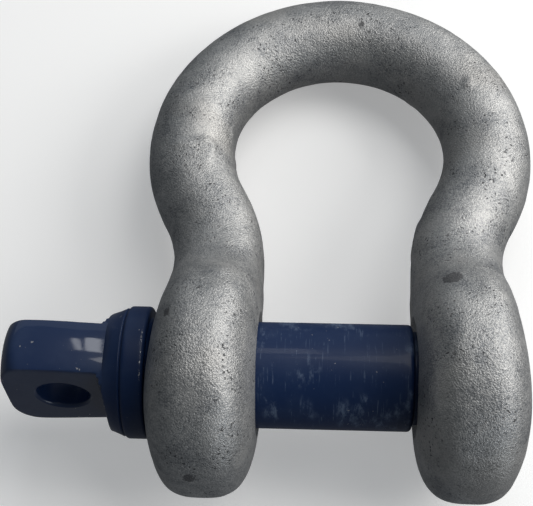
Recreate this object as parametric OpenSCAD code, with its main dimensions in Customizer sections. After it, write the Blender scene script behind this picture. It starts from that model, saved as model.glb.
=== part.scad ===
// Screw-pin bow shackle, lying flat as it is set down on a bench.
//
// Frame: the origin is the middle of the pin between the two ears. +X runs along the pin from
// its eye to its threaded end, +Y runs from the pin towards the crown and +Z is up. The shackle
// rests on its two ears and its crown, so the bow leans down a few degrees towards the crown.

/* [Bow] */

// Diameter of the round bar that the bow is bent from
bar_d = 20; // [18:0.5:20.5]
// Gap between the inner faces of the two ears
jaw_w = 31.5; // [29:0.5:33]
// Clear length inside the bow, from the pin to the crown
inside_len = 71; // [68:0.5:76]
// Widest clear width inside the bow
bow_w = 49; // [47:0.5:51]
// Clear width at the waist, between the ears and the bow
waist_w = 32.5; // [31:0.5:35]
// Bend radius of each waist, to the middle of the bar
waist_r = 34; // [30:1:38]

/* [Ears] */

// Outside diameter of each ear
ear_d = 50; // [48:0.5:51]
// How far the ears' middles lie past the pin, towards their feet
ear_drop = 0.8; // [0:0.1:1]
// Thickness of each ear along the pin
ear_t = 23; // [21:0.5:24]
// Flatness of the ears' faces (2 is an oval, higher is flatter)
ear_flatness = 2.8; // [2.4:0.1:3.4]
// How much fuller the ears are towards their feet, as a share of their thickness
ear_fullness = 0.05; // [0:0.01:0.08]
// Radius of the round between the bar and each ear, seen from the side
ear_fillet = 24; // [12:1:28]
// Diameter of the clear hole in the ear on the eye's side
clear_hole_d = 23.5; // [23:0.5:24.5]
// Chamfer at the mouths of both holes
hole_chamfer = 1.6; // [1.2:0.1:2]

/* [Pin] */

// Diameter of the pin's plain shank
pin_d = 22.4; // [21.4:0.2:22.6]
// Diameter of the collar that seats on the ear
collar_d = 28; // [26.5:0.5:29]
// Thickness of the collar
collar_t = 4.8; // [4:0.2:6]
// Pitch of the pin's thread
thread_pitch = 2.5; // [2:0.5:3]
// Depth of the pin's thread
thread_depth = 1.4; // [1:0.1:1.5]

/* [Eye] */

// Length of the eye tab and its neck, out from the collar
eye_len = 25.5; // [24:0.5:30]
// Width of the eye tab over its crowned edges
eye_w = 25; // [23:0.5:26]
// Radius of the crown of the eye's two edges
eye_crown_r = 36; // [24:2:60]
// Thickness of the eye tab
eye_t = 11.7; // [10:0.1:13]
// Diameter of the hole through the eye
eye_hole_d = 11; // [9:0.5:12]
// Distance of that hole's middle from the end of the eye
eye_hole_in = 12; // [11:0.5:14]
// Turn of the eye about the pin (0 lays its flat faces level, 90 stands it on edge)
eye_turn = 80; // [0:1:180]

/* [Hidden] */

$fn = 96;

// Running clearance of turning and sliding fits, and the gap under the seated collar
running_gap = 0.05;
seat_gap = 0.3;

// Steps along each stretch of the half bow and around its bar
crown_steps = 22;
waist_steps = 8;
leg_steps = 24;
ring_steps = 36;

bar_r = bar_d / 2;
pin_r = pin_d / 2;
ear_r = ear_d / 2;
ear_mid_x = (jaw_w + ear_t) / 2;
ear_face_x = jaw_w / 2 + ear_t;

// Crown: an arc of more than half a circle round crown_y
crown_r = (bow_w + bar_d) / 2;
crown_top_y = pin_r + inside_len + bar_r;
crown_y = crown_top_y - crown_r;

// Waist: an arc that bends the other way, tangent to the crown's arc and upright at waist_x
waist_x = (waist_w + bar_d) / 2;
waist_mid_x = waist_x + waist_r;
waist_y = crown_y - sqrt(pow(crown_r + waist_r, 2) - pow(waist_mid_x, 2));
join_angle = atan2(waist_y - crown_y, waist_mid_x);

// Lean of the bow that brings its crown down to the ears' lowest point
lean = asin((ear_r - bar_r) / (crown_top_y + ear_drop));

// Foot of the ears, the height above the pin below which the bar fades into the ear, and how
// sharply the two merge
ear_foot_y = -ear_r - ear_drop;
fade_y = 0.8 * ear_r;
merge = 8;

// Seen from the side, the round between bar and ear starts at fillet_y and ends at touch_y
fillet_y = sqrt(pow(ear_r + ear_fillet, 2) - pow(bar_r + ear_fillet, 2)) - ear_drop;
touch_y = (fillet_y + ear_drop) * ear_r / (ear_r + ear_fillet) - ear_drop;

// Height at which the ears' sections reach their full flatness
flat_y = ear_r / 3;

thread_r = pin_r - running_gap;
thread_root_r = thread_r - thread_depth;
sleeve_r = thread_root_r - 0.3;
core_r = sleeve_r - running_gap;
thread_hole_r = pin_r;
shank_end_x = jaw_w / 2;
shank_chamfer = 0.8;
thread_start_x = shank_end_x + 1.2;
pin_end_x = ear_face_x - 0.4;
pin_end_chamfer = 1.2;
collar_r = collar_d / 2;
collar_in_x = -ear_face_x - seat_gap;
collar_out_x = collar_in_x - collar_t;
collar_chamfer = 0.8;

// The eye and its neck: a round blank with a rounded end, narrowing from eye_waist_x to the
// neck, which flares out as a cone to a rim just short of the collar
blank_r = eye_w / 2 + 0.9;
eye_end_x = collar_out_x - eye_len;
eye_corner_r = 5.6;
eye_corner_steps = 8;
eye_waist_x = eye_end_x + 0.45 * eye_len;
neck_r = blank_r - 1.9;
rim_r = collar_r - 0.45;
rim_step = 0.4;
rim_x = collar_out_x - rim_step;
flare_x = rim_x - 3.4;

// The eye's two flat faces end at a steep shoulder: start, and rise for each mm along the pin
shoulder_x = collar_out_x - 5.3;
shoulder_rise = 2;

zinc = [0.62, 0.64, 0.65];
navy_paint = [0.09, 0.13, 0.28];
bare_thread = [0.13, 0.17, 0.30];

function smooth(t) = t * t * (3 - 2 * t);
function clamp(t) = min(1, max(0, t));

// Sign-free power, for superellipses
function pw(v, e) = pow(abs(v), e);

// Stations of the half bow's middle line: [x, y, direction of its outward normal in degrees].
// The leg drifts sideways from the waist to the ear's middle, and on a little past the pin.
function crown_station(a) = [crown_r * cos(a), crown_y + crown_r * sin(a), a];
function waist_station(a) = [waist_mid_x + waist_r * cos(a), waist_y + waist_r * sin(a), a - 180];
function leg_drift(y) = smooth(clamp((waist_y - y) / (waist_y - ear_foot_y / 2)));
function leg_x(y) = waist_x + (ear_mid_x - waist_x) * leg_drift(y) / leg_drift(0);
function leg_station(t) =
    let (y = waist_y - (waist_y - ear_foot_y) * sin(90 * t))
    [leg_x(y), y, 0];

// Stations from the top of the crown down to the foot of one ear
half_path = concat(
    [for (i = [0:crown_steps]) crown_station(90 + (join_angle - 90) * i / crown_steps)],
    [for (i = [1:waist_steps]) waist_station(180 + join_angle * (1 - i / waist_steps))],
    [for (i = [1:leg_steps - 1]) leg_station(i / leg_steps)]
);

// Half width of the section at height y: a soft maximum of the fading bar and the ear
function half_width(y) =
    let (
        from_middle = y + ear_drop,
        h = clamp(abs(from_middle) / ear_r),
        full_t = ear_t * (1 - ear_fullness * from_middle / ear_r),
        ear = full_t / 2 * pow(1 - pow(h, ear_flatness), 1 / ear_flatness),
        bar = bar_r * smooth(clamp(y / fade_y))
    )
    pow(pow(bar, merge) + pow(ear, merge), 1 / merge);

// Half depth of the section at height y: the bar, then the round, then the ear's circle
function half_depth(y) =
    y >= fillet_y ? bar_r :
    y >= touch_y ? bar_r + ear_fillet - sqrt(pow(ear_fillet, 2) - pow(fillet_y - y, 2)) :
    sqrt(pow(ear_r, 2) - pow(y + ear_drop, 2));

// Radius of the section at height y in direction a: an oval that flattens towards the ear
function bow_radius(y, a) =
    let (n = 2 + (ear_flatness - 2) * smooth(clamp((fillet_y - y) / (fillet_y - flat_y))))
    pow(pw(cos(a) / half_width(y), n) + pw(sin(a) / half_depth(y), n), -1 / n);

// One ring of points around a station; side is 1 for the threaded leg and -1 for the other
function ring(s, side) = [
    for (j = [0:ring_steps - 1])
    let (a = 360 * j / ring_steps, r = bow_radius(s[1], a))
    [side * (s[0] + r * cos(a) * cos(s[2])), s[1] + r * cos(a) * sin(s[2]), r * sin(a)]
];

// Forged bow as one closed skin of rings, with a point at the foot of each ear
module bow_forging() {
    last = len(half_path) - 1;
    rings = concat(
        [for (i = [last:-1:1]) ring(half_path[i], -1)],
        [for (i = [0:last]) ring(half_path[i], 1)]
    );
    count = len(rings);
    feet = [for (side = [-1, 1]) [side * leg_x(ear_foot_y), ear_foot_y, 0]];
    points = concat([for (r = rings) each r], feet);
    foot_a = count * ring_steps;
    foot_b = foot_a + 1;
    function at(i, j) = i * ring_steps + j % ring_steps;
    faces = concat(
        [for (j = [0:ring_steps - 1]) [foot_a, at(0, j), at(0, j + 1)]],
        [
            for (i = [0:count - 2], j = [0:ring_steps - 1])
            each [
                [at(i, j), at(i + 1, j), at(i + 1, j + 1)],
                [at(i, j), at(i + 1, j + 1), at(i, j + 1)]
            ]
        ],
        [for (j = [0:ring_steps - 1]) [foot_b, at(count - 1, j + 1), at(count - 1, j)]]
    );
    polyhedron(points, faces);
}

// Round hole through an ear along X from x_a to x_b, with a chamfered mouth at each end
module ear_hole(x_a, x_b, r) {
    past = 3;
    translate([x_a - past, 0, 0])
        rotate([0, 90, 0])
        cylinder(r = r, h = x_b - x_a + 2 * past);
    for (end = [[x_a, 1], [x_b, -1]])
        translate([end[0], 0, 0])
        rotate([0, 90 * end[1], 0])
        translate([0, 0, -past])
        cylinder(r1 = r + hole_chamfer + past, r2 = r, h = hole_chamfer + past);
}

module bow() {
    color(zinc)
    difference() {
        rotate([-lean, 0, 0]) bow_forging();
        ear_hole(-ear_face_x, -jaw_w / 2, clear_hole_d / 2);
        ear_hole(jaw_w / 2, ear_face_x, thread_hole_r);
    }
}

// Half outline of the pin from the eye's end to the threaded end, as [distance from axis, x]
module pin_outline() {
    polygon(concat(
        [[0, eye_end_x]],
        [
            for (i = [0:eye_corner_steps])
            let (a = 90 * i / eye_corner_steps)
            [
                blank_r - eye_corner_r * (1 - sin(a)),
                eye_end_x + eye_corner_r * (1 - cos(a))
            ]
        ],
        [
            [blank_r, eye_waist_x],
            [neck_r, flare_x],
            [rim_r, rim_x],
            [rim_r - rim_step, collar_out_x],
            [collar_r - collar_chamfer, collar_out_x],
            [collar_r, collar_out_x + collar_chamfer],
            [collar_r, collar_in_x - collar_chamfer],
            [collar_r - collar_chamfer, collar_in_x],
            [pin_r, collar_in_x],
            [pin_r, shank_end_x - shank_chamfer],
            [core_r, shank_end_x],
            [core_r, pin_end_x - pin_end_chamfer],
            [core_r - pin_end_chamfer, pin_end_x],
            [0, pin_end_x]
        ]
    ));
}

// Tool that takes one side of the round blank down to the eye's flat face and its shoulder
module eye_flat_cut() {
    reach = 2 * eye_w;
    from_x = eye_end_x - reach;
    translate([0, reach, eye_t / 2])
        rotate([90, 0, 0])
        linear_extrude(2 * reach)
        polygon([
            [from_x, 0],
            [shoulder_x, 0],
            [shoulder_x + reach / shoulder_rise, reach],
            [from_x, reach]
        ]);
}

// Tool that crowns one edge of the eye: all that lies outside a large cylinder along the pin
module eye_edge_cut() {
    reach = 2 * eye_w;
    difference() {
        translate([eye_end_x - reach, 0, -reach])
            cube([flare_x - eye_end_x + reach, reach, 2 * reach]);
        translate([eye_end_x - 2 * reach, eye_w / 2 - eye_crown_r, 0])
            rotate([0, 90, 0])
            cylinder(r = eye_crown_r, h = 4 * reach);
    }
}

module screw_pin() {
    color(navy_paint)
    difference() {
        rotate([0, 90, 0]) rotate_extrude() pin_outline();
        rotate([eye_turn, 0, 0]) {
            eye_flat_cut();
            mirror([0, 0, 1]) eye_flat_cut();
            eye_edge_cut();
            mirror([0, 1, 0]) eye_edge_cut();
            translate([eye_end_x + eye_hole_in, 0, -eye_w])
                cylinder(d = eye_hole_d, h = 2 * eye_w);
        }
    }
}

// Thread at the pin's end: rings of V section on a sleeve round the core, which turns in it
module pin_thread() {
    turns = floor((pin_end_x - thread_start_x) / thread_pitch);
    crest = thread_pitch / 8;
    end_x = thread_start_x + turns * thread_pitch;
    color(bare_thread)
    rotate([0, 90, 0])
    rotate_extrude()
    polygon(concat(
        [[sleeve_r, thread_start_x]],
        [
            for (i = [0:turns - 1])
            let (x = thread_start_x + i * thread_pitch)
            each [
                [thread_root_r, x],
                [thread_r, x + (thread_pitch - crest) / 2],
                [thread_r, x + (thread_pitch + crest) / 2]
            ]
        ],
        [
            [thread_root_r, end_x],
            [sleeve_r, end_x]
        ]
    ));
}

bow();
screw_pin();
pin_thread();
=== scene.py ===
import itertools
import math

import bpy
import numpy as np
from bpy.props import FloatProperty, FloatVectorProperty, IntProperty, PointerProperty
from mathutils import Matrix, Vector


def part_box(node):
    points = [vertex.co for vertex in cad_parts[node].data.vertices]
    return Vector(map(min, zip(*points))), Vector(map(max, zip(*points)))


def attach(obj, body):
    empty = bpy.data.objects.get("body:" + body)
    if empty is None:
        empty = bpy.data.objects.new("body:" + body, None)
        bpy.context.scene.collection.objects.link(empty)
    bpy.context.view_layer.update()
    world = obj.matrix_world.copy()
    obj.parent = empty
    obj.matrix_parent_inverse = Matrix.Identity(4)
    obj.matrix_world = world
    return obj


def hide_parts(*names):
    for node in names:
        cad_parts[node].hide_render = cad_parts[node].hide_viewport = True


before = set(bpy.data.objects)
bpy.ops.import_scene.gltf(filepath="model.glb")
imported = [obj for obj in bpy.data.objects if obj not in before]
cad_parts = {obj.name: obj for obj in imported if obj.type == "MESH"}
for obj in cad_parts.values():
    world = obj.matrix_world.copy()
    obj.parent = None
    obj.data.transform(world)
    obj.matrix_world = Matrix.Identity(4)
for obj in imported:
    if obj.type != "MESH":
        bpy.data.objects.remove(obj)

bl_info = {
    "name": "Bow shackle",
    "version": (1, 0, 0),
    "blender": (4, 5, 0),
    "location": "3D View > Sidebar > Shackle",
    "description": "Builds a galvanised bow shackle and its painted screw pin on their CAD frame",
    "category": "Object",
}

MM = 0.001
TURN = 2 * math.pi

# The pin's two ends, the start of its thread and the floor's level come from the packed CAD nodes.
PIN_LOW, PIN_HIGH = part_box("screw_pin")
THREAD_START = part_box("pin_thread")[0][0]
BOW_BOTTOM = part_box("bow")[0][2]


# ---------------------------------------------------------------- settings


def length(name, description, mm):
    """A length property in metres whose default is given in millimetres."""
    return FloatProperty(
        name=name, description=description, default=mm * MM, unit="LENGTH", precision=5
    )


def angle(name, description, degrees):
    """An angle property whose default is given in degrees."""
    return FloatProperty(
        name=name, description=description, default=math.radians(degrees), subtype="ANGLE"
    )


def share(name, description, default):
    """A plain share between 0 and 1."""
    return FloatProperty(name=name, description=description, default=default, min=0.0, max=1.0)


def colour(name, description, rgb):
    """A linear colour."""
    return FloatVectorProperty(
        name=name, description=description, default=rgb, subtype="COLOR", min=0.0, max=1.0
    )


class ShackleBowSettings(bpy.types.PropertyGroup):
    """Sizes of the forged bow"""

    bar: length("Bar", "Diameter of the round bar", 20.0)
    jaw: length("Jaw", "Gap between the two ears", 31.5)
    inside: length("Inside length", "Clear length from the pin to the crown", 71.0)
    width: length("Inside width", "Widest clear width of the bow", 49.0)
    waist: length("Waist", "Clear width at the waist", 32.5)
    waist_bend: length("Waist bend", "Bend radius of the waist, to the bar's middle", 34.0)
    ear: length("Ear", "Outside diameter of each ear", 50.0)
    ear_drop: length("Ear drop", "How far the ears' middles lie past the pin", 0.8)
    ear_thick: length("Ear thickness", "Thickness of each ear along the pin", 23.0)
    ear_flatness: FloatProperty(
        name="Ear flatness", description="Exponent of the ears' oval sections", default=2.8
    )
    ear_fullness: share("Ear fullness", "How much fuller the ears are at their feet", 0.05)
    ear_fillet: length("Ear fillet", "Radius of the round between the bar and each ear", 24.0)
    clear_hole: length("Clear hole", "Diameter of the hole that the shank passes", 23.5)
    hole_mouth: length("Hole mouth", "Radius of the rounded mouths of the clear hole", 3.2)
    tap_depth: length("Tap depth", "Depth of the grooves of the tapped hole", 0.9)
    tap_mouth: length("Tap mouth", "Size of the chamfers of the tapped hole", 2.1)
    forging_wave: length("Forging wave", "Height of the forging's slow unevenness", 0.22)
    zinc_ripple: length("Zinc ripple", "Height of the ripples frozen into the zinc", 0.07)
    around: IntProperty(name="Around", description="Points around the bar", default=128)


class ShacklePinSettings(bpy.types.PropertyGroup):
    """Sizes of the forged screw pin"""

    shank: length("Shank", "Diameter of the plain shank", 22.4)
    collar: length("Collar", "Diameter of the collar", 28.0)
    collar_thick: length("Collar thickness", "Thickness of the collar", 4.8)
    seat_gap: length("Seat gap", "Gap between the collar and the ear", 0.3)
    pitch: length("Thread pitch", "Pitch of the thread", 2.5)
    thread_depth: length("Thread depth", "Depth of the thread", 1.4)
    eye: length("Eye width", "Width of the flat eye over its crowned edges", 25.0)
    eye_crown: length("Eye crown", "Radius of the crown of the eye's edges", 36.0)
    eye_thick: length("Eye thickness", "Thickness of the flat eye", 11.7)
    eye_corner: length("Eye corner", "Radius of the round corners of the eye's end", 5.6)
    eye_hole: length("Eye hole", "Diameter of the hole through the eye", 11.0)
    eye_hole_in: length("Eye hole inset", "From the eye's end to the middle of its hole", 12.0)
    eye_hole_mouth: length("Eye hole mouth", "Radius of the rounded mouths of the eye's hole", 0.9)
    neck_narrowing: length("Neck narrowing", "What the eye's half width loses to the neck", 1.0)
    flare: length("Flare", "Length of the cone from the neck to the rim", 3.4)
    rim: length("Rim", "How far the rim stands in from the collar, and its thickness", 0.45)
    collar_edge: length("Collar edge", "Radius of the collar's rounded edges", 0.8)
    forging_wave: length("Forging wave", "Height of the forging's slow unevenness", 0.03)
    paint_grain: length("Paint grain", "Height of the fine unevenness under the paint", 0.006)
    eye_turn: angle("Eye turn", "Turn of the eye about the pin", 80.0)
    around: IntProperty(name="Around", description="Points around the pin", default=336)


class ShackleFinishSettings(bpy.types.PropertyGroup):
    """Colours of the zinc and the paint"""

    zinc_dark: colour("Zinc, dark", "Dull patches of the zinc", (0.15, 0.16, 0.175))
    zinc_light: colour("Zinc, light", "Bright grains of the zinc", (0.53, 0.525, 0.515))
    zinc_warm: colour("Zinc, warm", "Slightly warm patches of the zinc", (0.5, 0.47, 0.43))
    zinc_fleck: colour("Zinc flecks", "Dark flecks and pits", (0.07, 0.07, 0.075))
    paint: colour("Paint", "Navy gloss paint", (0.006, 0.02, 0.07))
    paint_pale: colour("Paint, rubbed", "Paint rubbed pale", (0.1, 0.14, 0.22))
    bare: colour("Bare steel", "Steel where the paint is chipped", (0.42, 0.42, 0.43))


class ShackleStageSettings(bpy.types.PropertyGroup):
    """Camera and lights"""

    distance: length("Camera distance", "From the camera to its target", 266.6)
    target: FloatVectorProperty(
        name="Camera target",
        description="Point that the camera looks at",
        default=(-15.64 * MM, 27.81 * MM, 0.0),
        subtype="XYZ",
        unit="LENGTH",
    )
    azimuth: angle("Camera azimuth", "0 looks along +Y", 7.37)
    elevation: angle("Camera elevation", "Above the bench", 68.0)
    roll: angle("Camera roll", "Turn about the view axis", -5.83)
    focal: FloatProperty(name="Focal length", description="On a 36 mm sensor, in mm", default=81.8)
    floor: colour("Floor", "Plain pale floor that the camera sees", (0.8, 0.8, 0.8))
    floor_glow: share("Floor glow", "Light that the shown floor gives off", 0.3)
    bounce: colour("Bounce", "Darker floor that the shackle reflects", (0.34, 0.36, 0.4))
    bounce_glow: share("Bounce glow", "Light that the darker floor gives off", 0.08)
    light_distance: length("Light distance", "From the shackle's middle to each light", 800.0)
    sky: colour("Sky", "Colour of the faint light from all sides", (0.82, 0.92, 1.0))
    sky_strength: share("Sky strength", "Strength of that light", 0.1)


# ------------------------------------------------------------ numpy surfaces


def smooth(t):
    """Clamped to 0..1, then eased as 3 t squared minus 2 t cubed."""
    t = np.clip(t, 0.0, 1.0)
    return t * t * (3 - 2 * t)


def random_field(points, size, seed):
    """Smooth random heights from -1 to 1 over space.

    Random values stand on a cubic lattice with cells of the given size, and each point takes
    the eased trilinear blend of the eight values at the corners of its cell.
    """
    table = np.random.default_rng(seed).uniform(-1, 1, (32, 32, 32))
    q = points / size
    cell = np.floor(q).astype(int)
    t = smooth(q - cell)
    total = np.zeros(points.shape[:-1])
    for corner in itertools.product((0, 1), repeat=3):
        i, j, k = np.moveaxis((cell + corner) % 32, -1, 0)
        weight = np.prod(np.where(np.array(corner) == 1, t, 1 - t), axis=-1)
        total += weight * table[i, j, k]
    return total


def outward(rings):
    """Unit normals of a grid of rings: the cross product of its two numerical tangents."""
    along = np.gradient(rings, axis=0)
    wrapped = np.concatenate([rings[:, -1:], rings, rings[:, :1]], axis=1)
    across = (wrapped[:, 2:] - wrapped[:, :-2]) / 2
    normal = np.cross(across, along)
    size = np.linalg.norm(normal, axis=-1, keepdims=True)
    return normal / np.maximum(size, 1e-12)


def turned(points, angle):
    """Points turned about the X axis: (x, y, z) becomes (x, y cos - z sin, y sin + z cos)."""
    c, s = math.cos(angle), math.sin(angle)
    x, y, z = np.moveaxis(points, -1, 0)
    return np.stack([x, y * c - z * s, y * s + z * c], axis=-1)


def mesh_from_rings(name, rings, first, last):
    """Closed mesh: quads between neighbouring rings and a fan to a point at each end."""
    count, around = rings.shape[:2]
    j = np.arange(around)
    k = np.roll(j, -1)
    start = np.arange(count - 1)[:, None] * around
    quads = np.stack([start + j, start + k, start + around + k, start + around + j], axis=-1)
    tip_a, tip_b = count * around, count * around + 1
    base = (count - 1) * around
    fan_a = np.stack([np.full(around, tip_a), k, j], axis=-1)
    fan_b = np.stack([np.full(around, tip_b), base + j, base + k], axis=-1)
    points = np.concatenate([rings.reshape(-1, 3), [first, last]])
    faces = quads.reshape(-1, 4).tolist() + fan_a.tolist() + fan_b.tolist()
    mesh = bpy.data.meshes.new(name)
    mesh.from_pydata(points.tolist(), [], faces)
    mesh.update()
    return mesh


def lathe(xs, radii, around):
    """Rings around the X axis: at each x, a circle whose radius may also vary with the angle."""
    angle = np.linspace(0, TURN, around, endpoint=False)
    xs = np.broadcast_to(np.asarray(xs)[:, None], (len(xs), around))
    radii = np.asarray(radii)
    radii = np.broadcast_to(radii if radii.ndim == 2 else radii[:, None], xs.shape)
    return np.stack([xs, radii * np.cos(angle), radii * np.sin(angle)], axis=-1)


def thread_wave(xs, around, pitch):
    """Height of a V thread from 0 at its root to 1 at its crest.

    The phase is x over the pitch less the angle over a full turn, and its distance from the
    middle of the turn falls off as a triangle with a flat crest one eighth of a pitch wide.
    """
    angle = np.linspace(0, TURN, around, endpoint=False)
    phase = (np.asarray(xs)[:, None] / pitch - angle / TURN) % 1.0
    flat = 1 / 8
    return np.clip((1 - np.abs(2 * phase - 1)) / (1 - flat), 0, 1)


def add_object(name, mesh):
    """Links a new object with this mesh at the origin."""
    piece = bpy.data.objects.new(name, mesh)
    bpy.context.scene.collection.objects.link(piece)
    return piece


def cut_away(piece, cutters):
    """Takes the cutters' volumes out of the piece, keeps the result as its mesh and drops them."""
    for cutter in cutters:
        cut = piece.modifiers.new(cutter.name, "BOOLEAN")
        cut.operation = "DIFFERENCE"
        cut.solver = "EXACT"
        cut.object = cutter
    graph = bpy.context.evaluated_depsgraph_get()
    result = bpy.data.meshes.new_from_object(piece.evaluated_get(graph), depsgraph=graph)
    piece.modifiers.clear()
    raw, piece.data = piece.data, result
    bpy.data.meshes.remove(raw)
    for cutter in cutters:
        bpy.data.meshes.remove(cutter.data)


def finish_mesh(piece, name, crease_deg):
    """Smooth shading with sharp edges where two faces meet at more than the crease angle."""
    piece.data.name = name
    piece.data.shade_smooth()
    piece.data.set_sharp_from_angle(angle=math.radians(crease_deg))


# ------------------------------------------------------------------- the bow

# Points around the tools that cut the holes, and how far the rounds of a hole's mouths turn
CUTTER_AROUND = 128
MOUTH_BEND = math.radians(62)


class BowShape:
    """Middle line, sections and lean of the bow, worked out from its settings"""

    CROWN_STEPS = 104
    WAIST_STEPS = 36
    LEG_STEPS = 112
    MERGE_POWER = 8

    def __init__(self, bow, shank):
        self.bar_r = bow.bar / 2
        self.ear_r = bow.ear / 2
        self.ear_drop = bow.ear_drop
        self.ear_thick = bow.ear_thick
        self.flatness = bow.ear_flatness
        self.fullness = bow.ear_fullness
        self.fillet = bow.ear_fillet
        self.ear_mid_x = (bow.jaw + bow.ear_thick) / 2
        self.crown_r = (bow.width + bow.bar) / 2
        self.crown_top_y = shank / 2 + bow.inside + self.bar_r
        self.crown_y = self.crown_top_y - self.crown_r
        self.waist_r = bow.waist_bend
        self.waist_x = (bow.waist + bow.bar) / 2
        self.waist_mid_x = self.waist_x + self.waist_r
        reach = self.crown_r + self.waist_r
        self.waist_y = self.crown_y - math.sqrt(reach**2 - self.waist_mid_x**2)
        self.join = math.atan2(self.waist_y - self.crown_y, self.waist_mid_x)
        self.foot_y = -self.ear_r - self.ear_drop
        away = math.sqrt((self.ear_r + self.fillet) ** 2 - (self.bar_r + self.fillet) ** 2)
        self.fillet_y = away - self.ear_drop
        self.touch_y = away * self.ear_r / (self.ear_r + self.fillet) - self.ear_drop
        self.lean = math.asin((self.ear_r - self.bar_r) / (self.crown_top_y + self.ear_drop))

    def leg_x(self, y):
        """The leg drifts from the waist to the ear's middle by an eased share of its height."""

        def drift(h):
            return smooth((self.waist_y - h) / (self.waist_y - self.foot_y / 2))

        return self.waist_x + (self.ear_mid_x - self.waist_x) * drift(y) / drift(0.0)

    def half_path(self):
        """x, y and the outward normal's angle from the crown's top down to one ear's foot.

        The crown is an arc of radius crown_r, the waist is a tangent arc of radius waist_r that
        bends the other way, and the leg's steps close up towards the foot as a sine.
        """
        a = np.linspace(math.pi / 2, self.join, self.CROWN_STEPS + 1)
        crown = [self.crown_r * np.cos(a), self.crown_y + self.crown_r * np.sin(a), a]
        b = np.linspace(math.pi + self.join, math.pi, self.WAIST_STEPS + 1)[1:]
        waist = [
            self.waist_mid_x + self.waist_r * np.cos(b),
            self.waist_y + self.waist_r * np.sin(b),
            b - math.pi,
        ]
        t = np.arange(1, self.LEG_STEPS) / self.LEG_STEPS
        y = self.waist_y - (self.waist_y - self.foot_y) * np.sin(t * math.pi / 2)
        leg = [self.leg_x(y), y, np.zeros_like(y)]
        return np.concatenate([np.stack(part, axis=-1) for part in (crown, waist, leg)])

    def half_width(self, y):
        """Soft maximum of a superellipse for the ear and a bar that fades out.

        The soft maximum is the root of the sum of both half widths raised to the merge power.
        """
        level = y + self.ear_drop
        h = np.clip(np.abs(level) / self.ear_r, 0, 1)
        full = self.ear_thick * (1 - self.fullness * level / self.ear_r)
        ear = full / 2 * (1 - h**self.flatness) ** (1 / self.flatness)
        bar = self.bar_r * smooth(y / (0.8 * self.ear_r))
        return (bar**self.MERGE_POWER + ear**self.MERGE_POWER) ** (1 / self.MERGE_POWER)

    def half_depth(self, y):
        """The bar's radius, then a round that leaves it, then the ear's own circle."""
        inside = np.clip(self.fillet_y - y, 0, self.fillet_y - self.touch_y)
        joined = self.bar_r + self.fillet - np.sqrt(self.fillet**2 - inside**2)
        level = np.clip(y + self.ear_drop, -self.ear_r, self.ear_r)
        ear = np.sqrt(self.ear_r**2 - level**2)
        return np.where(y >= self.touch_y, joined, ear)

    def radius(self, y, a):
        """Oval section in direction a, whose exponent grows from 2 to the ear's flatness."""
        t = smooth((self.fillet_y - y) / (self.fillet_y - self.ear_r / 3))
        n = 2 + (self.flatness - 2) * t
        across = np.abs(np.cos(a)) / self.half_width(y)
        deep = np.abs(np.sin(a)) / self.half_depth(y)
        return (across**n + deep**n) ** (-1 / n)

    def rings(self, around):
        """One ring of points around each station, from the foot of one ear to the other's."""
        half = self.half_path()
        left = half[:0:-1] * (-1, 1, 1)
        path = np.concatenate([left, half])
        side = np.concatenate([np.full(len(left), -1.0), np.ones(len(half))])
        x, y, turn = (column[:, None] for column in path.T)
        a = np.linspace(0, TURN, around, endpoint=False)[None, :]
        r = self.radius(y + 0 * a, a + 0 * y)
        out = r * np.cos(a)
        across = side[:, None] * out * np.cos(turn)
        return np.stack([x + across, y + out * np.sin(turn), r * np.sin(a)], axis=-1)

    def feet(self):
        """The two points that close the skin at the ears' feet."""
        x = float(self.leg_x(self.foot_y))
        return np.array([[-x, self.foot_y, 0.0], [x, self.foot_y, 0.0]])


def zinc_relief(points, normals, wave, ripple):
    """Skin moved along its normals by slow forging waves and by the zinc's finer ripples.

    The waves are random fields of 17 and 8 mm cells, the ripples of 3.4 and 1.7 mm cells, and
    a few frozen drops stand where a field of 6 mm cells comes near its top.
    """
    drop_height = 0.35 * MM
    slow = random_field(points, 17 * MM, 3) + 0.5 * random_field(points, 8 * MM, 5)
    fine = random_field(points, 3.4 * MM, 7) + 0.6 * random_field(points, 1.7 * MM, 11)
    drops = smooth((random_field(points, 6 * MM, 13) - 0.62) / 0.3)
    height = wave * slow / 1.5 + ripple * fine / 1.6 + drop_height * drops
    return points + normals * height[..., None]


def plain_hole_cutter(name, x_a, x_b, radius, lip, past):
    """Lathe tool for a plain hole: straight, then opening on a round at both mouths.

    The round stops short of a quarter turn and goes on as a cone to the given length past.
    """
    bend = np.linspace(0, MOUTH_BEND, 9)
    opening = lip * (1 - np.cos(bend))
    inward = lip * (1 - np.sin(bend))
    slope = math.tan(bend[-1])
    wide = radius + opening[-1] + slope * (past - inward[-1])
    xs = np.concatenate([[x_a - past], (x_a + inward)[::-1], x_b - inward, [x_b + past]])
    radii = np.concatenate([[wide], (radius + opening)[::-1], radius + opening, [wide]])
    rings = lathe(xs, radii, CUTTER_AROUND)
    return add_object(name, mesh_from_rings(name, rings, (xs[0], 0, 0), (xs[-1], 0, 0)))


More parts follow.
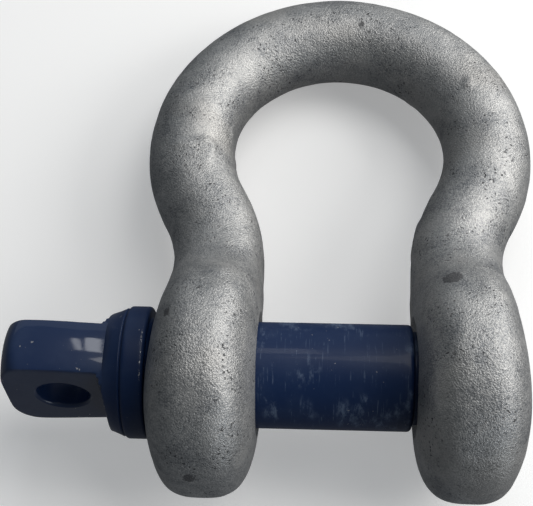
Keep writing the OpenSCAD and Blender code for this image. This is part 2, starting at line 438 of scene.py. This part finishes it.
def tapped_hole_cutter(name, x_a, x_b, radius, pitch, depth, lip):
    """Lathe tool for a tapped hole: the radius plus the depth times the thread's wave."""
    past = 4 * MM
    runout = 0.8 * MM
    xs = np.linspace(x_a, x_b, int((x_b - x_a) / pitch * 12))
    fade = smooth((xs - x_a - lip) / runout) * smooth((x_b - lip - xs) / runout)
    mouth = np.maximum(lip - (xs - x_a), 0) + np.maximum(lip - (x_b - xs), 0)
    wave = thread_wave(xs, CUTTER_AROUND, pitch)
    radii = radius + depth * fade[:, None] * wave + mouth[:, None]
    ends = np.full((1, CUTTER_AROUND), radius + lip + past)
    xs = np.concatenate([[x_a - past], xs, [x_b + past]])
    rings = lathe(xs, np.concatenate([ends, radii, ends]), CUTTER_AROUND)
    return add_object(name, mesh_from_rings(name, rings, (xs[0], 0, 0), (xs[-1], 0, 0)))


class ShackleBuildBow(bpy.types.Operator):
    """Build the forged bow, with its clear hole and its tapped hole"""

    bl_idname = "shackle.build_bow"
    bl_label = "Bow"

    def execute(self, context):
        bow, pin = context.scene.shackle_bow, context.scene.shackle_pin
        shape = BowShape(bow, pin.shank)
        rings = turned(shape.rings(bow.around), -shape.lean)
        rings = zinc_relief(rings, outward(rings), bow.forging_wave, bow.zinc_ripple)
        feet = turned(shape.feet(), -shape.lean)
        piece = add_object("bow_forging", mesh_from_rings("bow_forging", rings, *feet))
        inner, outer = bow.jaw / 2, bow.jaw / 2 + bow.ear_thick
        clear = plain_hole_cutter(
            "clear_hole", -outer, -inner, bow.clear_hole / 2, bow.hole_mouth, 4 * MM
        )
        tapped = tapped_hole_cutter(
            "tapped_hole", inner, outer, pin.shank / 2, pin.pitch, bow.tap_depth, bow.tap_mouth
        )
        cut_away(piece, [clear, tapped])
        finish_mesh(piece, "bow_forging", 32)
        piece.data.materials.append(galvanised_zinc(context.scene.shackle_finish))
        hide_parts("bow")
        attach(piece, "bow")
        return {"FINISHED"}


# ------------------------------------------------------------------- the pin


class PinShape:
    """Outline and sections of the screw pin, worked out from its settings and the CAD boxes"""

    SOFT_POWER = 44

    def __init__(self, bow, pin):
        self.eye_end = PIN_LOW[0]
        self.tip = PIN_HIGH[0]
        self.collar_in = -(bow.jaw / 2 + bow.ear_thick + pin.seat_gap)
        self.collar_out = self.collar_in - pin.collar_thick
        self.shank_end = bow.jaw / 2
        self.thread_start = THREAD_START
        self.shank_r = pin.shank / 2
        self.crest_r = self.shank_r - 0.05 * MM
        self.root_r = self.crest_r - pin.thread_depth
        self.collar_r = pin.collar / 2
        self.collar_edge = pin.collar_edge
        self.rim_r = self.collar_r - pin.rim
        self.rim_x = self.collar_out - pin.rim
        self.eye_r = pin.eye / 2
        self.eye_crown = pin.eye_crown
        self.eye_half = pin.eye_thick / 2
        self.eye_corner = pin.eye_corner
        self.neck_r = self.eye_r - 0.2 * MM
        self.narrowing = pin.neck_narrowing
        self.neck_x = self.rim_x - pin.flare
        self.pitch = pin.pitch
        self.turn = pin.eye_turn

    def corner(self, x, r, size, a0, a1, steps):
        """Arc of the given size about (x, r) from angle a0 to a1 in degrees, 0 along +X."""
        a = np.radians(np.linspace(a0, a1, steps))
        return np.stack([x + size * np.cos(a), r + size * np.sin(a)], axis=-1)

    def run(self, x0, r0, x1, r1, step):
        """Evenly spaced points along a straight stretch, without its last one."""
        count = max(1, round(math.hypot(x1 - x0, r1 - r0) / step))
        t = np.arange(count)[:, None] / count
        return np.array([x0, r0]) * (1 - t) + np.array([x1, r1]) * t

    def eye_outline(self):
        """The eye's end, its round corner, its level blade and the slow taper to the neck.

        The blade stands a little above the crowned edges, which cut it back later, so that it
        only rounds off their corners.
        """
        blade_r = self.eye_r + 0.9 * MM
        taper_x = self.eye_end + 0.3 * (self.collar_out - self.eye_end)
        corner_x = self.eye_end + self.eye_corner
        corner_r = blade_r - self.eye_corner
        return [
            self.run(self.eye_end, 0.1 * MM, self.eye_end, corner_r, 0.5 * MM),
            self.corner(corner_x, corner_r, self.eye_corner, 180, 90, 20),
            self.run(corner_x, blade_r, taper_x, blade_r, 0.45 * MM)[1:],
            self.run(taper_x, blade_r, self.neck_x, self.neck_r, 0.5 * MM),
        ]

    def flare_outline(self):
        """The cone from the neck to the rim, which steepens a little, and the groove behind it."""
        t = np.linspace(0, 1, 18)
        xs = self.neck_x + (self.rim_x - self.neck_x) * t
        radii = self.neck_r + (self.rim_r - self.neck_r) * (0.35 * t * t + 0.65 * t)
        groove_x = np.array([0.12, 0.25, 0.32, 0.37, 0.42]) * MM
        groove_depth = np.array([0.05, 0.2, 0.3, 0.3, 0.2]) * MM
        groove = np.stack([self.rim_x + groove_x, self.rim_r - groove_depth], axis=-1)
        return [np.stack([xs, radii], axis=-1), groove]

    def collar_outline(self):
        """The collar with its two rounded edges."""
        edge = self.collar_edge
        out_x, in_x = self.collar_out + edge, self.collar_in - edge
        return [
            self.corner(out_x, self.collar_r - edge, edge, 180, 90, 8),
            self.run(out_x, self.collar_r, in_x, self.collar_r, 0.5 * MM)[1:],
            self.corner(in_x, self.collar_r - edge, edge, 90, 0, 8),
        ]

    def shank_outline(self):
        """The shank from a small fillet at the collar to a round edge, and the thread's relief."""
        fillet = 0.6 * MM
        edge = 0.9 * MM
        start_x, end_x = self.collar_in + fillet, self.shank_end - edge
        return [
            self.run(self.collar_in, self.shank_r + fillet, start_x, self.shank_r, 0.3 * MM),
            self.run(start_x, self.shank_r, end_x, self.shank_r, 1.6 * MM),
            self.corner(end_x, self.shank_r - edge, edge, 90, 15, 6),
            [[self.shank_end + 0.25 * MM, self.root_r], [self.thread_start, self.root_r]],
        ]

    def outline(self):
        """Half outline from the eye's end to the thread, as rows of x and radius."""
        eye, flare = self.eye_outline(), self.flare_outline()
        collar, shank = self.collar_outline(), self.shank_outline()
        return np.concatenate([*eye, *flare, *collar, *shank])

    def threaded_end(self, around):
        """x and radii of the thread: the root plus its depth times the wave.

        The thread rises from nothing at its start and is chamfered to just below its root at
        the pin's tip.
        """
        xs = np.arange(self.thread_start + 0.1 * MM, self.tip, self.pitch / 13)
        rise = smooth((xs - self.thread_start) / (0.9 * self.pitch))
        fall = np.clip((self.tip - xs) / (1.6 * MM), 0, 1)
        depth = self.crest_r - self.root_r
        wave = thread_wave(xs, around, self.pitch)
        sink = 0.6 * MM
        cone = self.root_r - sink + (depth + sink) * fall
        radii = np.minimum(self.root_r + depth * rise[:, None] * wave, cone[:, None])
        return xs, radii

    def flat_half(self, x):
        """Half thickness between the flat faces: level along the eye, then up a steep shoulder.

        The shoulder leaves the flat at a crisp line and steepens on a parabola.
        """
        past = np.maximum(x - (self.collar_out - 5.3 * MM), 0)
        return self.eye_half + 1.2 * past + past**2 / (1.2 * MM)

    def edge_half(self, x):
        """Half width over the crowned edges, which never reaches their own radius.

        It narrows to the neck on a parabola and then flares at 45 degrees.
        """
        start = self.eye_end + 7.6 * MM
        narrow = np.clip((x - start) / (self.neck_x - start), 0, 1) ** 2
        flare = np.maximum(x - self.neck_x, 0)
        return np.minimum(self.eye_r - self.narrowing * narrow + flare, 0.9 * self.eye_crown)

    def crowned_edge(self, across, half):
        """Radius to the eye's crowned edge, an arc of radius eye_crown that bulges outward.

        A ray at cosine c to the eye's width meets that circle, whose middle lies back by D on
        the other side of the axis, at r = -c D + sqrt(c^2 D^2 + R^2 - D^2).
        """
        back = self.eye_crown - half
        reach = across**2 * back**2 + self.eye_crown**2 - back**2
        return -across * back + np.sqrt(reach)

    def rings(self, around):
        """Rings of the pin: a soft minimum of the round outline, the flats and the crowned edges.

        The flats limit the radius in direction a to their half thickness over the cosine of the
        angle between a and their normal, which is a quarter turn past the eye's turn. The soft
        minimum of r and its limit m is r over the root of 1 + (r / m) to the same high power.
        """
        xs, radii = self.outline().T
        a = np.linspace(0, TURN, around, endpoint=False)
        off = np.abs(np.cos(a - self.turn - math.pi / 2))
        limit = self.flat_half(xs)[:, None] / np.maximum(off, 1e-6)
        edge = self.crowned_edge(np.abs(np.cos(a - self.turn)), self.edge_half(xs)[:, None])
        limit = np.minimum(limit, edge)
        plain = radii[:, None] + 0 * a
        ratio = np.minimum(plain / limit, 30)
        eye = plain * (1 + ratio**self.SOFT_POWER) ** (-1 / self.SOFT_POWER)
        thread_xs, thread_radii = self.threaded_end(around)
        end_face = np.linspace(self.root_r - 0.8 * MM, 0.3 * MM, 6)[:, None] + 0 * a
        all_xs = np.concatenate([xs, thread_xs, np.full(6, self.tip)])
        return lathe(all_xs, np.concatenate([eye, thread_radii, end_face]), around)


def forged_relief(points, shape, wave, grain):
    """Forging's unevenness on the eye, neck and collar, fading out at the machined shank.

    Slow random fields of 7 and 3.5 mm cells give the wave and one of 1.4 mm the grain. Every
    ring is moved straight away from the X axis, in share to its distance over the middle 6 mm,
    and the eye's end also along it.
    """
    middle = 6 * MM
    rough = smooth((shape.collar_in + 1.05 * MM - points[..., 0]) / (8 * MM))
    slow = random_field(points, 7 * MM, 21) + 0.5 * random_field(points, 3.5 * MM, 23)
    fine = random_field(points, 1.4 * MM, 27)
    height = rough * (wave * slow / 1.5 + grain * fine)
    away = points * (0, 1, 1)
    away = away / np.maximum(np.linalg.norm(away, axis=-1, keepdims=True), middle)
    end = smooth((shape.eye_end + middle - points[..., 0]) / middle)
    along = np.stack([end * height, 0 * end, 0 * end], axis=-1)
    return points + away * height[..., None] - along


class ShackleBuildPin(bpy.types.Operator):
    """Build the forged screw pin, with its eye, collar, shank and thread"""

    bl_idname = "shackle.build_pin"
    bl_label = "Screw pin"

    def execute(self, context):
        bow, pin = context.scene.shackle_bow, context.scene.shackle_pin
        shape = PinShape(bow, pin)
        rings = forged_relief(shape.rings(pin.around), shape, pin.forging_wave, pin.paint_grain)
        tips = (shape.eye_end, 0, 0), (shape.tip, 0, 0)
        piece = add_object("screw_pin_forging", mesh_from_rings("screw_pin_forging", rings, *tips))
        half = shape.eye_half
        hole = plain_hole_cutter(
            "eye_hole", -half, half, pin.eye_hole / 2, pin.eye_hole_mouth, 0.6 * MM
        )
        # The tool lies along X: a quarter turn stands it along Y, and then it follows the eye
        quarter = Matrix.Rotation(math.pi / 2, 4, "Z")
        follow = Matrix.Rotation(math.pi / 2 + pin.eye_turn, 4, "X")
        shift = Matrix.Translation((shape.eye_end + pin.eye_hole_in, 0, 0))
        hole.data.transform(shift @ follow @ quarter)
        cut_away(piece, [hole])
        finish_mesh(piece, "screw_pin_forging", 34)
        piece.data.materials.append(navy_paint(context.scene.shackle_finish, shape))
        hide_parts("screw_pin", "pin_thread")
        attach(piece, "pin")
        return {"FINISHED"}


# ----------------------------------------------------------------- materials


# Dull marks on the zinc: place in mm and radius in mm
ZINC_MARKS = [((23, 16, 18), 2.2), ((-29, -24, 9), 1.5), ((-34, 6, 22), 1.1), ((5, 90, -5), 0.9)]


class Value:
    """A number socket of a node tree, so that shader maths reads as arithmetic"""

    def __init__(self, graph, socket):
        self.graph = graph
        self.socket = socket

    def math(self, operation, *values):
        """A Math node over these values."""
        return self.graph.value("ShaderNodeMath", {"operation": operation}, dict(enumerate(values)))

    def __add__(self, other):
        return self.math("ADD", self, other)

    def __sub__(self, other):
        return self.math("SUBTRACT", self, other)

    def __rsub__(self, other):
        return self.math("SUBTRACT", other, self)

    def __mul__(self, other):
        return self.math("MULTIPLY", self, other)

    def __abs__(self):
        return self.math("ABSOLUTE", self)

    __radd__ = __add__
    __rmul__ = __mul__

    def at_least(self, other):
        """The larger of the two."""
        return self.math("MAXIMUM", self, other)

    def ramp(self, low, high):
        """0 below low and 1 above high, eased between them; low may be the larger."""
        settings = {"interpolation_type": "SMOOTHSTEP", "clamp": True}
        if low > high:
            return 1 - self.ramp(high, low)
        sockets = {0: self, 1: low, 2: high, 3: 0.0, 4: 1.0}
        return self.graph.value("ShaderNodeMapRange", settings, sockets)


class Graph:
    """Node tree of one material"""

    def __init__(self, name):
        self.material = bpy.data.materials.new(name)
        self.material.use_nodes = True
        self.tree = self.material.node_tree
        self.tree.nodes.clear()
        self.place = self.node("ShaderNodeTexCoord").outputs["Object"]

    def node(self, kind, settings=None, sockets=None):
        """Any node: its settings are set first, then its sockets by name or index."""
        node = self.tree.nodes.new(kind)
        for key, value in (settings or {}).items():
            setattr(node, key, value)
        for key, value in (sockets or {}).items():
            if isinstance(value, Value):
                value = value.socket
            if isinstance(value, bpy.types.NodeSocket):
                self.tree.links.new(value, node.inputs[key])
            else:
                node.inputs[key].default_value = value
        return node

    def value(self, kind, settings=None, sockets=None, output=0):
        """The wanted number output of a new node, wrapped for arithmetic."""
        return Value(self, self.node(kind, settings, sockets).outputs[output])

    def stretched(self, scale, turn_x=0.0):
        """Object coordinates turned about X and scaled per axis, to stretch a pattern."""
        sockets = {"Vector": self.place, "Rotation": (turn_x, 0, 0), "Scale": scale}
        return self.node("ShaderNodeMapping", {"vector_type": "POINT"}, sockets).outputs[0]

    def noise(self, size, detail=2.0, rough=0.5, vector=None, distortion=0.0):
        """Noise of roughly 0..1 whose features are about size metres across."""
        sockets = {
            "Vector": vector or self.place,
            "Scale": 1 / size,
            "Detail": detail,
            "Roughness": rough,
            "Distortion": distortion,
        }
        return self.value("ShaderNodeTexNoise", {"noise_dimensions": "3D"}, sockets)

    def distance(self, centre_mm):
        """Distance in metres from a point given in millimetres."""
        sockets = {0: self.place, 1: tuple(c * MM for c in centre_mm)}
        settings = {"operation": "DISTANCE"}
        return self.value("ShaderNodeVectorMath", settings, sockets, "Value")

    def axis(self, index, vector=None):
        """One coordinate of the object's place, in metres."""
        return self.value("ShaderNodeSeparateXYZ", None, {0: vector or self.place}, index)

    def mix(self, amount, a, b):
        """Colour a where the amount is 0 and b where it is 1."""
        sockets = {0: amount, 6: self.plain(a), 7: self.plain(b)}
        return self.node("ShaderNodeMix", {"data_type": "RGBA"}, sockets).outputs[2]

    def plain(self, value):
        """A colour's three numbers with alpha 1, or a colour socket as it is."""
        if isinstance(value, bpy.types.NodeSocket):
            return value
        return (*value, 1.0)

    def bump(self, height, distance, strength):
        """Bump node over a height of 0..1 that stands for a distance in metres."""
        sockets = {"Height": height, "Distance": distance, "Strength": strength}
        return self.node("ShaderNodeBump", None, sockets).outputs[0]

    def surface(self, **sockets):
        """Principled shader, with underscores for the spaces in its sockets' names."""
        named = {key.replace("_", " "): value for key, value in sockets.items()}
        shader = self.node("ShaderNodeBsdfPrincipled", None, named)
        self.node("ShaderNodeOutputMaterial", None, {0: shader.outputs[0]})
        return self.material


def galvanised_zinc(finish):
    """Dull hot-dip zinc: orange-peel skin over slow patches, with flecks, pits and dull marks."""
    g = Graph("galvanised_zinc")
    fine = g.noise(0.36 * MM, detail=2, rough=0.6)
    peel = g.noise(0.72 * MM, detail=2, rough=0.6)
    coarse = g.noise(2.1 * MM, detail=3, rough=0.55)
    patch = g.noise(11 * MM, detail=4, rough=0.6, distortion=0.5)
    area = g.noise(24 * MM, detail=2)

    # Dark flecks and pits gather where a slower noise is high
    crowd = g.noise(10 * MM, detail=3, rough=0.6).ramp(0.42, 0.62)
    fleck = g.noise(0.7 * MM, detail=2).ramp(0.6, 0.68) * crowd
    pit = g.noise(1.9 * MM, detail=3, rough=0.6).ramp(0.66, 0.73) * crowd
    stroke = g.noise(1.0 * MM, detail=2, vector=g.stretched((0.3, 1.0, 0.5))).ramp(0.72, 0.77)
    stroke = stroke * g.noise(14 * MM).ramp(0.55, 0.66)
    dark = fleck.at_least(pit * 0.8).at_least(stroke * 0.7)

    # Marks with ragged edges
    mark = None
    ragged = (g.noise(1.1 * MM, detail=3, rough=0.7) - 0.5) * 2.6 * MM
    for centre, radius in ZINC_MARKS:
        spot = (g.distance(centre) + ragged).ramp(radius * MM, (radius - 0.3) * MM)
        mark = spot if mark is None else mark.at_least(spot)

    grains = fine * 0.8 + peel * 0.35 + coarse * 0.25
    tone = grains + patch * 0.85 - crowd * 0.1 - 0.6
    base = g.mix(tone.ramp(0.0, 0.85), finish.zinc_dark, finish.zinc_light)
    base = g.mix(area.ramp(0.52, 0.7) * 0.3, base, finish.zinc_warm)
    base = g.mix(dark.at_least(mark * 0.8) * 0.92, base, finish.zinc_fleck)
    rugged = g.noise(13 * MM, detail=2).ramp(0.3, 0.65) * 0.75 + 0.35
    height = fine * 0.75 + (peel * 0.55 + coarse * 0.35) * rugged - dark * 0.5
    normal = g.bump(height, 0.4 * MM, 0.5)
    rough = 0.4 + peel * 0.14 + dark.at_least(mark) * 0.2
    return g.surface(Base_Color=base, Metallic=0.72, Roughness=rough, Normal=normal, IOR=1.5)


def navy_paint(finish, shape):
    """Navy paint, glossy on the eye, scuffed and scratched on the shank, chipped at its edges."""
    g = Graph("navy_paint")
    x = g.axis(0)
    patch = g.noise(9 * MM, detail=3, rough=0.6)
    grain = g.noise(0.8 * MM, detail=2)

    # Scratches run round the shank, so their pattern is drawn out in Y and Z
    ringed = g.stretched((1.0, 0.06, 0.06))
    stroke = g.noise(0.34 * MM, detail=2, vector=ringed).ramp(0.58, 0.7)
    broken = g.noise(2.6 * MM, detail=4, rough=0.7)
    on_shank = x.ramp(shape.collar_in, shape.collar_in + 1 * MM)
    scratch = stroke * broken.ramp(0.42, 0.62) * on_shank
    haze = g.noise(3.2 * MM, detail=5, rough=0.75, vector=g.stretched((1.0, 0.45, 0.45)))
    haze = haze.ramp(0.5, 0.68) * g.noise(8 * MM).ramp(0.44, 0.58) * on_shank
    speck = g.noise(0.7 * MM, detail=1).ramp(0.74, 0.79) * g.noise(5 * MM).ramp(0.46, 0.58)

    # Edges that the paint wears off: the eye's four long edges, its end, the rim and the collar
    level = g.stretched((1, 1, 1), -shape.turn)
    across, deep = abs(g.axis(2, level)), abs(g.axis(1, level))
    on_eye = x.ramp(shape.collar_out - 1 * MM, shape.collar_out - 4 * MM)
    on_flat = deep.ramp(shape.eye_half - 0.5 * MM, shape.eye_half - 0.15 * MM) * on_eye
    long_edge = on_flat * across.ramp(shape.eye_r - 2.5 * MM, shape.eye_r - 1.7 * MM)
    end_edge = x.ramp(shape.eye_end + 1.6 * MM, shape.eye_end + 0.4 * MM)
    end_edge = end_edge * deep.ramp(shape.eye_half - 0.8 * MM, shape.eye_half - 0.2 * MM) * 0.8
    rubbed = g.noise(14 * MM, detail=1).ramp(0.45, 0.6)
    rim_edge = abs(x - shape.rim_x).ramp(0.3 * MM, 0.1 * MM)
    collar_edge = abs(x - (shape.collar_out + 0.3 * MM)).ramp(0.3 * MM, 0.1 * MM)
    inner_edge = abs(x - (shape.collar_in - 0.7 * MM)).ramp(0.3 * MM, 0.1 * MM)
    rims = rim_edge.at_least(collar_edge * 0.4).at_least(inner_edge * 0.9) * rubbed
    edges = long_edge.at_least(end_edge).at_least(rims)
    ragged = g.noise(1.7 * MM, detail=4, rough=0.7)
    chip = (edges * 0.3 + ragged * 0.8).ramp(0.71, 0.77) * edges.ramp(0.05, 0.3)

    thread = x.ramp(shape.thread_start - 0.5 * MM, shape.thread_start + 1.5 * MM)
    worn = thread * (0.75 + 0.25 * g.noise(1.3 * MM, detail=3).ramp(0.4, 0.6))
    bare = chip.at_least(speck * 0.7).at_least(worn * 0.7)

    pale = (haze * 0.85).at_least(scratch * 0.5) + patch.ramp(0.4, 0.75) * 0.08
    base = g.mix(pale, finish.paint, finish.paint_pale)
    base = g.mix(bare, base, finish.bare)
    height = patch * 0.2 + grain * 0.08 - bare * 0.4
    normal = g.bump(height, 0.1 * MM, 0.4)
    return g.surface(
        Base_Color=base,
        Metallic=bare * 0.6,
        Roughness=0.4 + grain * 0.1 + haze * 0.1,
        Specular_IOR_Level=0.25,
        Normal=normal,
        IOR=1.5,
        Coat_Weight=(1 - bare) * (on_eye * 0.65 + 0.08),
        Coat_Roughness=0.07,
    )


# --------------------------------------------------------------------- stage

KEY_RGB = (1.0, 0.985, 0.955)
COOL_RGB = (0.85, 0.93, 1.0)
WINDOW_RGB = (0.95, 0.97, 1.0)

# Each light: name, elevation and azimuth from +X in degrees, width and height in metres,
# watts, colour. The two windows make the highlight in two parts on the eye.
LIGHTS = [
    ("key_side", 35, 0, (0.4, 0.4), 2.9, KEY_RGB),
    ("key_top", 60, 45, (0.5, 0.5), 2.5, (1.0, 0.99, 0.97)),
    ("key_low", 12, 45, (0.4, 0.4), 2.5, KEY_RGB),
    ("rim", 16, 92, (1.3, 0.6), 0.9, COOL_RGB),
    ("side_low", 12, 315, (0.4, 0.4), 0.9, COOL_RGB),
    ("window_wide", 54.8, 94.6, (0.06, 0.17), 0.2, WINDOW_RGB),
    ("window_narrow", 55.2, 102.4, (0.022, 0.15), 0.06, WINDOW_RGB),
]


def floor_material(name, rgb, glow):
    """Plain floor with a faint unevenness in its tone and a little light of its own."""
    g = Graph(name)
    tone = g.noise(60 * MM, detail=2) * 0.04
    base = g.mix(tone, rgb, tuple(0.9 * c for c in rgb))
    return g.surface(
        Base_Color=base, Roughness=0.8, Emission_Color=(1, 1, 1, 1), Emission_Strength=glow
    )


def soft_light(name, elevation, azimuth, size, watts, rgb, distance):
    """Area light that faces the shackle's middle from the direction of two angles in degrees."""
    middle = Vector((0, 30 * MM, -10 * MM))
    elevation, azimuth = math.radians(elevation), math.radians(azimuth)
    flat = math.cos(elevation)
    away = Vector((math.cos(azimuth) * flat, math.sin(azimuth) * flat, math.sin(elevation)))
    data = bpy.data.lights.new(name, "AREA")
    data.shape = "RECTANGLE"
    data.size, data.size_y = size
    data.energy = watts
    data.color = rgb
    light = bpy.data.objects.new(name, data)
    light.location = middle + distance * away
    light.rotation_euler = (-away).to_track_quat("-Z", "Y").to_euler()
    bpy.context.scene.collection.objects.link(light)


def floor_plane(name, z, rgb, glow):
    """Wide level square that belongs to the stage."""
    half = 3.0
    corners = [(-half, -half, z), (half, -half, z), (half, half, z), (-half, half, z)]
    mesh = bpy.data.meshes.new(name)
    mesh.from_pydata(corners, [], [(0, 1, 2, 3)])
    mesh.materials.append(floor_material(name, rgb, glow))
    plane = add_object(name, mesh)
    return plane


def aim_camera(stage):
    """Camera at its distance and two angles from its target, then turned about its own axis."""
    a, e = stage.azimuth, stage.elevation
    back = Vector((math.sin(a) * math.cos(e), -math.cos(a) * math.cos(e), math.sin(e)))
    right = (-back).cross(Vector((0, 0, 1))).normalized()
    up = right.cross(-back)
    level = Matrix((right, up, back)).transposed()
    data = bpy.data.cameras.new("camera")
    data.lens = stage.focal
    data.sensor_width = 36
    data.clip_start = 0.01
    camera = bpy.data.objects.new("camera", data)
    place = Vector(stage.target) + back * stage.distance
    turned_level = level @ Matrix.Rotation(stage.roll, 3, "Z")
    camera.matrix_world = Matrix.Translation(place) @ turned_level.to_4x4()
    bpy.context.scene.collection.objects.link(camera)
    bpy.context.scene.camera = camera


class ShackleBuildStage(bpy.types.Operator):
    """Build the floor, the lights and the camera"""

    bl_idname = "shackle.build_stage"
    bl_label = "Stage"

    def execute(self, context):
        stage = context.scene.shackle_stage
        # The pale floor is only for the camera; the shackle reflects the darker one under it
        low = BOW_BOTTOM - 0.2 * MM
        shown = floor_plane("floor", low, stage.floor, stage.floor_glow)
        shown.visible_diffuse = False
        shown.visible_glossy = False
        bounce = floor_plane("bounce_floor", low - 1 * MM, stage.bounce, stage.bounce_glow)
        bounce.visible_camera = False

        for light in LIGHTS:
            soft_light(*light, stage.light_distance)

        world = bpy.data.worlds.new("studio")
        world.use_nodes = True
        background = world.node_tree.nodes["Background"]
        background.inputs["Color"].default_value = (*stage.sky, 1.0)
        background.inputs["Strength"].default_value = stage.sky_strength
        context.scene.world = world
        context.scene.view_settings.view_transform = "Standard"

        aim_camera(stage)
        return {"FINISHED"}


# --------------------------------------------------------------------- add-on


class ShacklePanel(bpy.types.Panel):
    """Sidebar panel with the settings and the build steps"""

    bl_idname = "VIEW3D_PT_shackle"
    bl_label = "Bow shackle"
    bl_space_type = "VIEW_3D"
    bl_region_type = "UI"
    bl_category = "Shackle"

    def draw(self, context):
        for group in SETTINGS:
            box = self.layout.box()
            box.label(text=group.__doc__)
            values = getattr(context.scene, SETTINGS[group])
            for key in group.__annotations__:
                box.prop(values, key)
        for step in STEPS:
            self.layout.operator(step.bl_idname)


SETTINGS = {
    ShackleBowSettings: "shackle_bow",
    ShacklePinSettings: "shackle_pin",
    ShackleFinishSettings: "shackle_finish",
    ShackleStageSettings: "shackle_stage",
}
STEPS = [ShackleBuildBow, ShackleBuildPin, ShackleBuildStage]


def register():
    """Registers the settings, the operators and the panel."""
    for item in [*SETTINGS, *STEPS, ShacklePanel]:
        bpy.utils.register_class(item)
    for group, name in SETTINGS.items():
        setattr(bpy.types.Scene, name, PointerProperty(type=group))


def unregister():
    """Takes them away again, in reverse."""
    for name in SETTINGS.values():
        delattr(bpy.types.Scene, name)
    for item in reversed([*SETTINGS, *STEPS, ShacklePanel]):
        bpy.utils.unregister_class(item)


def main():
    """Builds the shackle and its stage."""
    register()
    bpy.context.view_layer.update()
    bpy.ops.shackle.build_bow()
    bpy.ops.shackle.build_pin()
    bpy.ops.shackle.build_stage()


if __name__ == "__main__":
    main()
